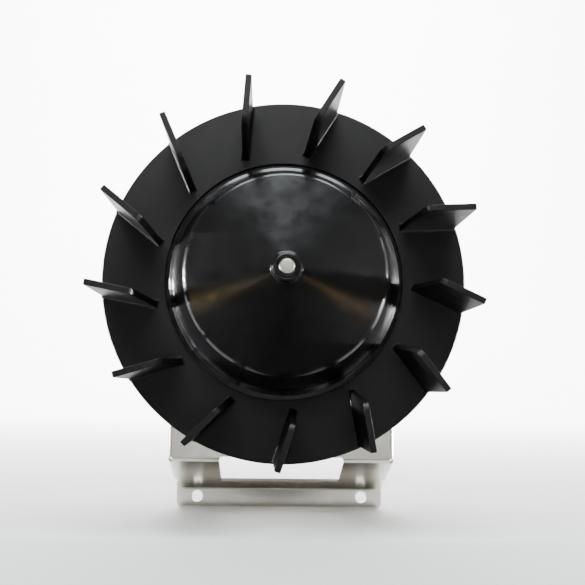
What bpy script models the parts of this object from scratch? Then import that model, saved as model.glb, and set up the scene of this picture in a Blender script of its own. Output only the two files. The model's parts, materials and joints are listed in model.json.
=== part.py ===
"""Radial blower wheel on its shaded-pole motor, held by a folded steel bracket.

Units are metres. +Z is up, the wheel faces -Y, and the origin is the middle of the bracket's
fixing flange, on its rear face and level with its two fixing holes.
Pieces that share the motor's axis are modelled in axis coordinates: their local +Z points
forward along the axis, their local +Y points up, and z = 0 is the front face of the blade disc.
"""
import math

import bmesh
import bpy
from mathutils import Matrix, Vector

MM = 0.001
GAP = 0.3 * MM                      # clearance between neighbouring pieces

# Place of the wheel
AXIS_HEIGHT = 102.6 * MM            # wheel axis above the fixing holes
DISC_FACE_Y = -56.1 * MM            # front face of the blade disc

# Blade wheel
WHEEL_RADIUS = 82.5 * MM
DISC_THICKNESS = 2.5 * MM
DISC_OPENING = 54.0 * MM
DISC_LIP = 1.2 * MM                 # disc thickness left over the dome's base flange
REBATE_RADIUS = 57.0 * MM
BLADE_COUNT = 13
BLADE_HEIGHT = 46.4 * MM
BLADE_THICKNESS = 2.6 * MM
BLADE_INNER_ROOT = 58.5 * MM
BLADE_INNER_FRONT = 63.0 * MM
BLADE_CORNER = 3.0 * MM
BLADE_TIP_CORNER = 0.8 * MM
BLADE_SWEEP = math.radians(16)      # chord angle off the radius at the tip
FIRST_BLADE = math.radians(101.8)

# Hub dome
DOME_WALL = 2.0 * MM
DOME_BASE = 51.8 * MM
DOME_SIDE_FOOT = (50.0 * MM, 3.6 * MM)
DOME_SIDE_HEAD = (44.5 * MM, 25.0 * MM)
DOME_CONE_FOOT = (40.0 * MM, 30.6 * MM)
DOME_CONE_HEAD = (14.0 * MM, 41.4 * MM)
DOME_FLANGE = 56.5 * MM
BOSS_RADIUS = 6.1 * MM
BOSS_FRONT = 48.9 * MM
BOSS_REAR = 31.0 * MM
BOSS_REAR_RADIUS = 6.8 * MM

# Shaft and rotor
SHAFT_RADIUS = 3.175 * MM           # quarter-inch shaft
SHAFT_FRONT = 49.4 * MM
SHAFT_REAR = -54.5 * MM
STACK_FRONT = -8.0 * MM
STACK_LENGTH = 25.0 * MM
ROTOR_RADIUS = 19.8 * MM
ON_SHAFT = SHAFT_RADIUS + GAP       # bore of a piece that sits on the shaft

# Stator
STATOR_RADIUS = 39.7 * MM
YOKE_INNER = 32.6 * MM
POLE_COUNT = 4
POLE_BORE = 20.3 * MM
POLE_SHOE = 24.0 * MM
POLE_HALF_WIDTH = 6.0 * MM
SHOE_HALF_ANGLE = math.radians(36)
SLOT_ANGLES = (math.radians(20.2), math.radians(25.0))
SLOT_DEPTH = 23.2 * MM

# Windings: half sizes across a pole neck and along the axis, and distances out from the axis
BOBBIN_WALL = 0.7 * MM
BOBBIN_TUBE = (25.2 * MM, 29.8 * MM)
CHEEK_HALF = (9.6 * MM, 17.6 * MM)
CHEEK_PLACES = (24.8 * MM, 29.5 * MM)
CHEEK_THICKNESS = 0.6 * MM
COIL_HALF = (11.0 * MM, 18.6 * MM)
COIL_SPAN = (25.8 * MM, 29.1 * MM)
SHADING_LOW = (-3.2 * MM, -14.0 * MM)
SHADING_HIGH = (4.1 * MM, 14.0 * MM)
SHADING_WIDTH = 1.1 * MM            # thickness of a shading ring's copper
SHADING_SPAN = (20.9 * MM, 22.5 * MM)

# Motor shells
SHELL_RADIUS = 41.5 * MM
SHELL_WALL = 1.5 * MM
SHELL_SEAM = -12.0 * MM
SHELL_FRONT = 22.0 * MM
SHELL_REAR = -48.0 * MM
NOSE_RADIUS = 9.8 * MM
NOSE_LENGTH = 4.3 * MM
BOLT_CIRCLE = 29.5 * MM
BOLT_RADIUS = 2.0 * MM
EAR_CIRCLE = 51.5 * MM
EAR_FRONT = -16.3 * MM
EAR_THICKNESS = 3.0 * MM
EAR_HALF_WIDTH = 6.5 * MM
VENT_INNER = 13.5 * MM
VENT_OUTER = 25.0 * MM
VENT_HALF_WIDTH = 2.4 * MM
VENT_COUNT = 8
FELT_RADIUS = 8.0 * MM
BEARING_RADIUS = 6.0 * MM
BEARING_INNER_END = 8.2 * MM        # from the end wall's outside to the bearing's inner end

# Fasteners
NUT_WIDTH = 7.0 * MM
NUT_HEIGHT = 3.2 * MM
BOLT_HEAD = 3.6 * MM
SCREW_HEAD = 3.5 * MM
WASHER_RADIUS = 6.0 * MM
GROMMET_LIP = 6.4 * MM
GROMMET_BORE = 3.4 * MM
LIP_THICKNESS = 2.0 * MM

# Terminal block, on the rear wall above the bearing nose
BLOCK_HALF_WIDTH = 10.0 * MM
BLOCK_LOW = 13.0 * MM
BLOCK_HIGH = 25.0 * MM
BLOCK_DEPTH = 7.0 * MM
TAB_SPREAD = 6.2 * MM
TAB_SIZE = (0.8 * MM, 6.3 * MM, 4.6 * MM)
WELL_SIZE = (3.4 * MM, 9.0 * MM, BLOCK_DEPTH)
TERMINAL_SHANK = 1.3 * MM
TERMINAL_HEAD = 2.8 * MM

# Bracket, whose depths are measured back from the disc's front face
SHEET = 1.2 * MM
BEND = 1.3 * MM                     # bend radius of the middle of the sheet
BEND_RELIEF = 1.2 * MM              # side returns stop this far from the fold
PLATE_FRONT = 12.5 * MM             # front face of the plate behind the disc
PLATE_HALF_WIDTH = 52.0 * MM
PLATE_TOP = 50.0 * MM               # above the wheel axis
FOLD_DROP = 82.3 * MM               # fold below the wheel axis
WEB_SLOPE = math.radians(21.5)
RETURN_DEPTH = 15.0 * MM
WEB_RETURN_END = 31.0 * MM          # length of the web that has side returns
WEB_RETURN_SLANT = -0.35            # slant of the web's side returns at their rear end
TAIL_STEP = 1.5 * MM                # from the side returns to the full-width tail
TAIL_HALF_WIDTH = 51.2 * MM
FLANGE_DROP = 6.2 * MM              # flange edge below the fixing holes
MOTOR_HOLE = 43.0 * MM
GROMMET_HOLE = 5.0 * MM
FIXING_HOLE = 2.75 * MM
FIXING_SPACING = 82.0 * MM
FLANGE_CORNER = 3.0 * MM
WINDOW_HALF_WIDTH = 28.5 * MM
WINDOW_CORNER = 1.5 * MM
WINDOW_RISE = 2.2 * MM              # top of the window above the fold
WINDOW_DEPTH = 28.6 * MM            # how far the window reaches back from the plate

# Facets around turned pieces, by size
WHEEL_FACETS = 78
DOME_FACETS = 48
CASE_FACETS = 40
RING_FACETS = 20
SMALL_FACETS = 12

FRONT_TO_AXIS = Matrix.Rotation(math.radians(90), 4, 'X')
BOLT_ANGLES = [math.radians(45 + 90 * k) for k in range(4)]
EAR_ANGLES = [math.radians(a) for a in (45, 135, 270)]


# ---------------------------------------------------------------- scene and helpers

def clear_scene():
    for obj in list(bpy.data.objects):
        bpy.data.objects.remove(obj, do_unlink=True)


def new_collection(name):
    collection = bpy.data.collections.new(name)
    bpy.context.scene.collection.children.link(collection)
    return collection


def material(name, colour, roughness, metallic):
    mat = bpy.data.materials.new(name)
    mat.use_nodes = True
    shader = mat.node_tree.nodes["Principled BSDF"]
    shader.inputs["Base Color"].default_value = (*colour, 1)
    shader.inputs["Roughness"].default_value = roughness
    shader.inputs["Metallic"].default_value = metallic
    return mat


clear_scene()
PARTS = new_collection("blower_motor_wheel")
CUTTERS = new_collection("cutters")

axis_empty = bpy.data.objects.new("wheel_axis", None)
axis_empty.matrix_world = Matrix.Translation((0, DISC_FACE_Y, AXIS_HEIGHT)) @ FRONT_TO_AXIS
PARTS.objects.link(axis_empty)

SATIN_PLASTIC = material("satin_black_plastic", (0.022, 0.022, 0.023), 0.5, 0)
GLOSS_PLASTIC = material("gloss_black_plastic", (0.012, 0.012, 0.013), 0.15, 0)
BRIGHT_STEEL = material("bright_steel", (0.72, 0.71, 0.68), 0.3, 1)
SHAFT_STEEL = material("shaft_steel", (0.66, 0.64, 0.60), 0.35, 1)
SPRING_STEEL = material("spring_steel", (0.30, 0.30, 0.32), 0.4, 1)
ZINC_STEEL = material("zinc_plated_steel", (0.62, 0.62, 0.62), 0.4, 1)
CORE_STEEL = material("lamination_steel", (0.25, 0.25, 0.27), 0.5, 1)
ALUMINIUM = material("cast_aluminium", (0.75, 0.75, 0.76), 0.45, 1)
COPPER = material("copper", (0.72, 0.30, 0.14), 0.35, 1)
BRONZE = material("sintered_bronze", (0.55, 0.38, 0.18), 0.5, 1)
NYLON = material("natural_nylon", (0.72, 0.70, 0.62), 0.5, 0)
FELT = material("oil_felt", (0.45, 0.42, 0.36), 0.9, 0)
RUBBER = material("black_rubber", (0.02, 0.02, 0.02), 0.8, 0)
BRASS = material("brass", (0.72, 0.55, 0.25), 0.3, 1)


def link(obj, collection=PARTS, parent=None, mat=None):
    collection.objects.link(obj)
    obj.parent = parent
    if mat:
        obj.data.materials.clear()
        obj.data.materials.append(mat)
    if collection is CUTTERS:
        obj.hide_render = True
        obj.display_type = 'WIRE'
    return obj


def finish_mesh(mesh):
    mesh.shade_smooth()
    mesh.set_sharp_from_angle(angle=math.radians(35))


def turned(name, profile, segments, mat=None, collection=PARTS, parent=axis_empty, closed=True):
    """Turn a profile of (radius, height) points; it runs clockwise, down its outer side."""
    mesh = bpy.data.meshes.new(name)
    edges = [(i, i + 1) for i in range(len(profile) - 1)]
    if closed:
        edges.append((len(profile) - 1, 0))
    mesh.from_pydata([(r, 0, z) for r, z in profile], edges, [])
    obj = link(bpy.data.objects.new(name, mesh), collection, parent, mat)
    screw = obj.modifiers.new("turn", 'SCREW')
    screw.steps = segments
    screw.render_steps = segments
    screw.use_merge_vertices = True
    screw.merge_threshold = 0.00001
    screw.use_smooth_shade = True
    return obj


def ring(name, inner, outer, bottom, top, segments, mat=None, **place):
    """A plain turned ring."""
    profile = [(inner, top), (outer, top), (outer, bottom), (inner, bottom)]
    return turned(name, profile, segments, mat, **place)


def baked(obj):
    """The object's evaluated mesh as plain mesh data, in its own coordinates."""
    bpy.context.view_layer.update()
    evaluated = obj.evaluated_get(bpy.context.evaluated_depsgraph_get())
    mesh = bpy.data.meshes.new_from_object(evaluated)
    bm = bmesh.new()
    bm.from_mesh(mesh)
    bmesh.ops.remove_doubles(bm, verts=bm.verts, dist=0.000005)
    bmesh.ops.recalc_face_normals(bm, faces=bm.faces)
    bm.to_mesh(mesh)
    bm.free()
    return mesh


def frozen(obj):
    """Swap the object's modifiers, or a curve's outline, for the mesh that they make."""
    mesh = baked(obj)
    mat = obj.active_material
    if obj.type == 'CURVE':
        solid = bpy.data.objects.new(obj.name, mesh)
        link(solid, obj.users_collection[0], obj.parent)
        solid.matrix_world = obj.matrix_world.copy()
        name = obj.name
        bpy.data.objects.remove(obj, do_unlink=True)
        solid.name = name
    else:
        solid = obj
        solid.modifiers.clear()
        solid.data = mesh
    if mat:
        solid.data.materials.clear()
        solid.data.materials.append(mat)
    finish_mesh(solid.data)
    return solid


def plate(name, outlines, bottom, top, mat=None, collection=PARTS, parent=axis_empty, turn=None):
    """A flat plate from closed outlines (the later ones are its holes), bottom to top in local z."""
    curve = bpy.data.curves.new(name, 'CURVE')
    curve.dimensions = '2D'
    curve.fill_mode = 'BOTH'
    curve.extrude = (top - bottom) / 2
    for outline in outlines:
        spline = curve.splines.new('POLY')
        spline.points.add(len(outline) - 1)
        for point, (x, y) in zip(spline.points, outline):
            point.co = (x, y, 0, 1)
        spline.use_cyclic_u = True
    obj = link(bpy.data.objects.new(name, curve), collection, parent, mat)
    local = Matrix.Translation((0, 0, (top + bottom) / 2))
    obj.matrix_local = (turn or Matrix.Identity(4)) @ local
    return frozen(obj)


def flatten(obj):
    """Bake an object's modifiers and local matrix, so that its mesh is in axis coordinates."""
    solid = frozen(obj)
    solid.data.transform(solid.matrix_local)
    solid.matrix_local = Matrix.Identity(4)
    return solid


def pattern(obj, matrices):
    """Make a cutter a pattern of separate copies of itself, one at each local matrix."""
    source = flatten(obj).data
    bm = bmesh.new()
    for matrix in matrices:
        mesh = source.copy()
        mesh.transform(matrix)
        bm.from_mesh(mesh)
        bpy.data.meshes.remove(mesh)
    bm.to_mesh(source)
    bm.free()
    return obj


def repeated(obj, name, places):
    """Put a numbered copy of a piece, with the same mesh, at each local matrix."""
    first = flatten(obj)
    for k, place in enumerate(places, 1):
        piece = first if k == 1 else bpy.data.objects.new(name, first.data)
        if k > 1:
            PARTS.objects.link(piece)
            piece.parent = axis_empty
        piece.name = "%s_%d" % (name, k)
        piece.matrix_local = place


def boolean(target, tool, operation):
    modifier = target.modifiers.new(operation.lower(), 'BOOLEAN')
    modifier.operation = operation
    modifier.solver = 'EXACT'
    modifier.object = tool


def box(name, size, centre, turn=None, collection=CUTTERS, parent=axis_empty):
    """A box of the given size, centred at a local point and then turned."""
    bm = bmesh.new()
    bmesh.ops.create_cube(bm, size=1)
    bmesh.ops.scale(bm, vec=size, verts=bm.verts)
    mesh = bpy.data.meshes.new(name)
    bm.to_mesh(mesh)
    bm.free()
    obj = link(bpy.data.objects.new(name, mesh), collection, parent)
    obj.matrix_local = (turn or Matrix.Identity(4)) @ Matrix.Translation(centre)
    return obj


def spin(angle):
    return Matrix.Rotation(angle, 4, 'Z')


def around(radius, angles):
    """Local matrices that move a piece out by radius and turn it to each angle."""
    return [spin(a) @ Matrix.Translation((radius, 0, 0)) for a in angles]


def arc(centre, radius, start, end, steps):
    """Points on an arc, from the start angle to the end angle."""
    span = end - start
    return [(centre[0] + radius * math.cos(start + span * i / steps),
             centre[1] + radius * math.sin(start + span * i / steps)) for i in range(steps + 1)]


def circle(radius, steps, centre=(0, 0)):
    return arc(centre, radius, 0, 2 * math.pi * (steps - 1) / steps, steps - 1)


def rounded_rectangle(left, right, low, high, radius, steps=3):
    """A closed rectangle outline with round corners."""
    quarter = math.pi / 2
    corners = [(right - radius, high - radius), (left + radius, high - radius),
               (left + radius, low + radius), (right - radius, low + radius)]
    points = []
    for i, corner in enumerate(corners):
        points += arc(corner, radius, quarter * i, quarter * (i + 1), steps)
    return points


def rounded_path(points, radius, steps):
    """A path through the points, its inner corners swapped for arcs of the given radius."""
    path = [Vector(points[0])]
    for before, corner, after in zip(points, points[1:], points[2:]):
        corner = Vector(corner)
        back = (Vector(before) - corner).normalized()
        ahead = (Vector(after) - corner).normalized()
        half = back.angle(ahead) / 2
        centre = corner + (back + ahead).normalized() * radius / math.sin(half)
        start = corner + back * radius / math.tan(half) - centre
        end = corner + ahead * radius / math.tan(half) - centre
        turn = start.angle_signed(end)
        for i in range(steps + 1):
            angle = -turn * i / steps
            step = Matrix.Rotation(angle, 2) @ start
            path.append(centre + step)
    path.append(Vector(points[-1]))
    return path


# ---------------------------------------------------------------- rotating pieces

def blade_chord():
    """Inner root and tip of a blade whose tip is at angle 0; the root trails the tip."""
    tip_radius = WHEEL_RADIUS - BLADE_THICKNESS / 2 * math.sin(BLADE_SWEEP) - 0.1 * MM
    lag = math.asin(tip_radius * math.sin(BLADE_SWEEP) / BLADE_INNER_ROOT) - BLADE_SWEEP
    root = Vector((math.cos(lag), math.sin(lag), 0)) * BLADE_INNER_ROOT
    return root, Vector((tip_radius, 0, 0))


def blade_outline(chord, base):
    """Blade seen square-on: x runs out along its chord, y forward; base is its buried edge."""
    lean = chord * (BLADE_INNER_FRONT - BLADE_INNER_ROOT) / (WHEEL_RADIUS - BLADE_INNER_ROOT)
    lean_angle = math.atan2(BLADE_HEIGHT, lean)
    quarter = math.pi / 2
    tip_corner = (chord - BLADE_TIP_CORNER, BLADE_HEIGHT - BLADE_TIP_CORNER)
    corner_y = BLADE_HEIGHT - BLADE_CORNER
    corner_x = lean * corner_y / BLADE_HEIGHT + BLADE_CORNER / math.sin(lean_angle)
    points = [(0, base), (chord, base)]
    points += arc(tip_corner, BLADE_TIP_CORNER, 0, quarter, 2)
    points += arc((corner_x, corner_y), BLADE_CORNER, quarter, quarter + lean_angle, 3)
    return points


def make_blade_wheel():
    edge = 0.4 * MM
    back = -DISC_THICKNESS
    disc = turned("blade_wheel", [
        (DISC_OPENING + edge, 0), (WHEEL_RADIUS - edge, 0), (WHEEL_RADIUS, -edge),
        (WHEEL_RADIUS, back + edge), (WHEEL_RADIUS - edge, back), (REBATE_RADIUS, back),
        (REBATE_RADIUS, -DISC_LIP), (DISC_OPENING, -DISC_LIP), (DISC_OPENING, -edge)],
        WHEEL_FACETS, SATIN_PLASTIC)
    half = BLADE_THICKNESS / 2
    root, tip = blade_chord()
    chord = tip - root
    outline = blade_outline(chord.length, back / 2)
    blades = plate("blades", [outline], -half, half, collection=CUTTERS, turn=FRONT_TO_AXIS)
    stand = Matrix.Translation(root) @ spin(math.atan2(chord.y, chord.x))
    step = 2 * math.pi / BLADE_COUNT
    places = [spin(FIRST_BLADE - k * step) @ stand for k in range(BLADE_COUNT)]
    boolean(disc, pattern(blades, places), 'UNION')


def make_hub_dome():
    side_x, side_z = DOME_SIDE_HEAD
    foot_x, foot_z = DOME_SIDE_FOOT
    cone_x, cone_z = DOME_CONE_FOOT
    head_x, head_z = DOME_CONE_HEAD
    under = -DISC_LIP - GAP
    flange_back = under - 1.4 * MM
    wall = DOME_WALL
    profile = [
        (ON_SHAFT, BOSS_FRONT), (BOSS_RADIUS - 0.7 * MM, BOSS_FRONT), (BOSS_RADIUS, BOSS_FRONT - 0.7 * MM),
        (BOSS_RADIUS + 0.1 * MM, head_z + 5 * MM), (BOSS_RADIUS + 0.9 * MM, head_z + 3.4 * MM),
        (BOSS_RADIUS + 2.7 * MM, head_z + 2.2 * MM), (BOSS_RADIUS + 5.2 * MM, head_z + 1.1 * MM),
        (head_x, head_z), (cone_x, cone_z), (cone_x + 2.2 * MM, cone_z - 1.3 * MM),
        (cone_x + 3.7 * MM, cone_z - 3.2 * MM), (side_x, side_z), (foot_x, foot_z),
        (foot_x + 0.7 * MM, foot_z - 0.9 * MM), (DOME_BASE - 0.3 * MM, foot_z - 1.4 * MM),
        (DOME_BASE, foot_z - 2.2 * MM), (DOME_BASE, under), (DOME_FLANGE, under),
        (DOME_FLANGE, flange_back), (foot_x - wall + 1 * MM, flange_back),
        (foot_x - wall + 0.7 * MM, 0), (side_x - wall, side_z), (side_x - wall - 1 * MM, side_z + 2 * MM),
        (cone_x - 0.6 * MM, cone_z - 2.3 * MM), (head_x, head_z - 2.5 * MM),
        (BOSS_REAR_RADIUS + 2 * MM, head_z - 1.4 * MM), (BOSS_REAR_RADIUS, head_z - 3.2 * MM),
        (BOSS_REAR_RADIUS, BOSS_REAR), (ON_SHAFT, BOSS_REAR)]
    dome = turned("hub_dome", profile, DOME_FACETS, GLOSS_PLASTIC)
    slot = (20 * MM, 1.4 * MM, 12 * MM)
    for k in range(2):
        cutter = box("boss_slot_%d" % k, slot, (0, 0, BOSS_REAR - 0.5 * MM), spin(math.pi / 2 * k))
        boolean(dome, cutter, 'DIFFERENCE')


def make_hub_clip():
    inner = BOSS_REAR_RADIUS + GAP
    clip = ring("hub_clip", inner, inner + 1.2 * MM, 32.0 * MM, 35.5 * MM, RING_FACETS, SPRING_STEEL)
    mouth = box("clip_mouth", (6 * MM, 3 * MM, 8 * MM), (inner, 0, 34 * MM), spin(math.radians(70)))
    boolean(clip, mouth, 'DIFFERENCE')


def make_shaft():
    chamfer = 0.4 * MM
    inside = SHAFT_RADIUS - chamfer
    profile = [(0, SHAFT_FRONT), (inside, SHAFT_FRONT), (SHAFT_RADIUS, SHAFT_FRONT - chamfer),
               (SHAFT_RADIUS, SHAFT_REAR + chamfer), (inside, SHAFT_REAR), (0, SHAFT_REAR)]
    turned("motor_shaft", profile, RING_FACETS, SHAFT_STEEL, closed=False)


def make_rotor():
    rear = STACK_FRONT - STACK_LENGTH
    ring("rotor_core", ON_SHAFT, ROTOR_RADIUS, rear, STACK_FRONT, RING_FACETS, CORE_STEEL)
    inner = 12.0 * MM
    outer = ROTOR_RADIUS - 0.5 * MM
    height = 4.2 * MM
    for end, low in (("front", STACK_FRONT + GAP), ("rear", rear - GAP - height)):
        ring(end + "_end_ring", inner, outer, low, low + height, RING_FACETS, ALUMINIUM)
    tube = 5.6 * MM
    ring("front_spacer", ON_SHAFT, tube, STACK_FRONT + GAP, 11.5 * MM, SMALL_FACETS, ZINC_STEEL)
    ring("rear_spacer", ON_SHAFT, tube, -37.5 * MM, rear - GAP, SMALL_FACETS, ZINC_STEEL)


# ---------------------------------------------------------------- motor

def stator_window():
    """The opening inside the yoke: bore, pole shoes with a shading slot each, and coil spaces."""
    points = []
    shoe_back = POLE_SHOE + 0.4 * MM
    neck_low = math.asin(POLE_HALF_WIDTH / shoe_back)
    neck_high = math.asin(POLE_HALF_WIDTH / YOKE_INNER)
    slot_start, slot_end = SLOT_ANGLES
    spacing = 2 * math.pi / POLE_COUNT
    for k in range(POLE_COUNT):
        pole = spacing * k
        points += arc((0, 0), YOKE_INNER, pole + neck_high - spacing, pole - neck_high, 6)
        points += arc((0, 0), shoe_back, pole - neck_low, pole - neck_low, 1)[:1]
        points += arc((0, 0), POLE_SHOE, pole - SHOE_HALF_ANGLE, pole - SHOE_HALF_ANGLE, 1)[:1]
        points += arc((0, 0), POLE_BORE, pole - SHOE_HALF_ANGLE, pole + slot_start, 8)
        points += arc((0, 0), SLOT_DEPTH, pole + slot_start, pole + slot_end, 1)
        points += arc((0, 0), POLE_BORE, pole + slot_end, pole + SHOE_HALF_ANGLE, 2)
        points += arc((0, 0), POLE_SHOE, pole + SHOE_HALF_ANGLE, pole + SHOE_HALF_ANGLE, 1)[:1]
        points += arc((0, 0), shoe_back, pole + neck_low, pole + neck_low, 1)[:1]
    return points


def around_pole(angle):
    """Turn a plate's local z to point outward at an angle, with its local y along the axis."""
    return spin(angle) @ Matrix(((0, 0, 1, 0), (1, 0, 0, 0), (0, 1, 0, 0), (0, 0, 0, 1)))


def make_stator():
    rear = STACK_FRONT - STACK_LENGTH
    middle = (STACK_FRONT + rear) / 2
    plate("stator_core", [circle(STATOR_RADIUS, CASE_FACETS), stator_window()], rear, STACK_FRONT, CORE_STEEL)
    poles = [2 * math.pi / POLE_COUNT * k for k in range(POLE_COUNT)]
    half_stack = STACK_LENGTH / 2

    def frame(name, across, along, low, high, mat, radius=0.8 * MM):
        """A rectangular ring about a pole neck; across and along give inner and outer halves."""
        outer = rounded_rectangle(-across[1], across[1], -along[1], along[1], radius, 2)
        inner = rounded_rectangle(-across[0], across[0], -along[0], along[0], 0.3 * MM, 1)
        return plate(name, [outer, inner], low, high, mat)

    neck = POLE_HALF_WIDTH + GAP
    end = half_stack + GAP
    lift = [Matrix.Translation((0, 0, middle)) @ around_pole(pole) for pole in poles]
    tube = frame("tube", (neck, neck + BOBBIN_WALL), (end, end + BOBBIN_WALL), *BOBBIN_TUBE, NYLON)
    cheeks = [frame("cheek", (neck, CHEEK_HALF[0]), (end, CHEEK_HALF[1]), low, low + CHEEK_THICKNESS, NYLON)
              for low in CHEEK_PLACES]
    for cheek in cheeks:
        boolean(tube, cheek, 'UNION')
    repeated(tube, "coil_bobbin", lift)
    for cheek in cheeks:
        bpy.data.objects.remove(cheek, do_unlink=True)
    wound = BOBBIN_WALL + GAP
    coil = frame("coil", (neck + wound, COIL_HALF[0]), (end + wound, COIL_HALF[1]), *COIL_SPAN, COPPER, 3 * MM)
    repeated(coil, "field_coil", lift)
    (left, low), (right, high) = SHADING_LOW, SHADING_HIGH
    width = SHADING_WIDTH
    outline = rounded_rectangle(left, right, low, high, 0.5 * MM, 1)
    hole = rounded_rectangle(left + width, right - width, low + width, high - width, 0.2 * MM, 1)
    loop = plate("loop", [outline, hole], *SHADING_SPAN, COPPER)
    tip = (sum(SLOT_ANGLES) / 2 + SHOE_HALF_ANGLE) / 2
    places = [Matrix.Translation((0, 0, middle)) @ around_pole(pole + tip) for pole in poles]
    repeated(loop, "shading_ring", places)


def vents(shell, name, height, angles):
    """Cut rounded vent slots through an end wall at the given angles."""
    outline = rounded_rectangle(VENT_INNER, VENT_OUTER, -VENT_HALF_WIDTH, VENT_HALF_WIDTH,
                                VENT_HALF_WIDTH - 0.1 * MM, 2)
    slot = plate(name, [outline], height - 3 * MM, height + 3 * MM, collection=CUTTERS)
    places = [spin(math.radians(a)) for a in angles]
    boolean(shell, pattern(slot, places), 'DIFFERENCE')


def bolt_holes(shell, name, radius, height):
    """Cut the four through-bolt holes in an end wall."""
    hole = plate(name, [circle(radius, SMALL_FACETS)], height - 3 * MM, height + 3 * MM, collection=CUTTERS)
    boolean(shell, pattern(hole, around(BOLT_CIRCLE, BOLT_ANGLES)), 'DIFFERENCE')


def shell_profile(wall_height, rim_height, sign):
    """Half of the motor's case, from its rim to its end wall, with the bearing nose."""
    inner = SHELL_RADIUS - SHELL_WALL
    wall = SHELL_WALL * sign
    nose = NOSE_LENGTH * sign
    pocket = 8.5 * MM * sign
    step = MM * sign
    outside = [(SHELL_RADIUS, rim_height), (SHELL_RADIUS, wall_height - 7 * step),
               (SHELL_RADIUS - 1.2 * MM, wall_height - 3.4 * step),
               (SHELL_RADIUS - 4 * MM, wall_height - step), (SHELL_RADIUS - 8 * MM, wall_height),
               (NOSE_RADIUS, wall_height), (NOSE_RADIUS, wall_height + nose - step),
               (NOSE_RADIUS - 0.9 * MM, wall_height + nose), (SHAFT_RADIUS + 0.7 * MM, wall_height + nose)]
    seat = NOSE_RADIUS - SHELL_WALL
    inside = [(SHAFT_RADIUS + 0.7 * MM, wall_height + nose - wall), (seat, wall_height + nose - wall),
              (seat, wall_height - pocket), (NOSE_RADIUS, wall_height - pocket),
              (NOSE_RADIUS, wall_height - wall), (SHELL_RADIUS - 8.3 * MM, wall_height - wall),
              (SHELL_RADIUS - 4.8 * MM, wall_height - 2.4 * step),
              (SHELL_RADIUS - 2.5 * MM, wall_height - 4.6 * step), (inner, wall_height - 7.8 * step),
              (inner, rim_height)]
    profile = outside + inside
    if sign > 0:
        profile.reverse()
    return profile


def make_shells():
    front = turned("front_end_shell", shell_profile(SHELL_FRONT, SHELL_SEAM, 1), CASE_FACETS, ZINC_STEEL)
    spacing = 360 / VENT_COUNT
    vent_angles = [spacing * (k + 0.5) for k in range(VENT_COUNT)]
    vents(front, "front_vents", SHELL_FRONT, vent_angles)
    bolt_holes(front, "front_bolt_holes", BOLT_RADIUS + GAP, SHELL_FRONT)
    rear = turned("rear_end_shell", shell_profile(SHELL_REAR, SHELL_SEAM - GAP, -1), CASE_FACETS, ZINC_STEEL)
    half = EAR_HALF_WIDTH
    root = SHELL_RADIUS - 0.9 * MM
    outline = [(root, -half)] + arc((EAR_CIRCLE, 0), half, -math.pi / 2, math.pi / 2, 6) + [(root, half)]
    hole = circle(BOLT_RADIUS + GAP, SMALL_FACETS, (EAR_CIRCLE, 0))
    ears = plate("ears", [outline, hole], EAR_FRONT - EAR_THICKNESS, EAR_FRONT, collection=CUTTERS)
    boolean(rear, pattern(ears, [spin(a) for a in EAR_ANGLES]), 'UNION')
    clear_of_terminals = [a for a in vent_angles if abs(a - 90) > 45]
    vents(rear, "rear_vents", SHELL_REAR, clear_of_terminals)
    bolt_holes(rear, "rear_bolt_holes", BOLT_RADIUS + GAP, SHELL_REAR)
    return rear


def make_bearings():
    """Sleeve bearing, oil felt and pressed retainer in each shell's nose."""
    felt_inner = BEARING_RADIUS + GAP
    shelf = BEARING_INNER_END + GAP
    for end, wall, sign in (("front", SHELL_FRONT, 1), ("rear", SHELL_REAR, -1)):
        deep = wall + sign * (NOSE_LENGTH - SHELL_WALL - GAP)
        shallow = wall - sign * BEARING_INNER_END
        low, high = sorted((deep, shallow))
        ring(end + "_bearing", ON_SHAFT, BEARING_RADIUS, low, high, RING_FACETS, BRONZE)
        low, high = sorted((deep - sign * 1.2 * MM, shallow + sign * MM))
        ring(end + "_oil_felt", felt_inner, FELT_RADIUS, low, high, RING_FACETS, FELT)
        seat = wall - sign * shelf
        low, high = sorted((seat - sign * GAP, seat - sign * 1.5 * MM))
        ring(end + "_bearing_retainer", 4.3 * MM, NOSE_RADIUS - 0.2 * MM, low, high, RING_FACETS,
             SPRING_STEEL)


def hexagon(width):
    return circle(width / math.sqrt(3), 6)


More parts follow.
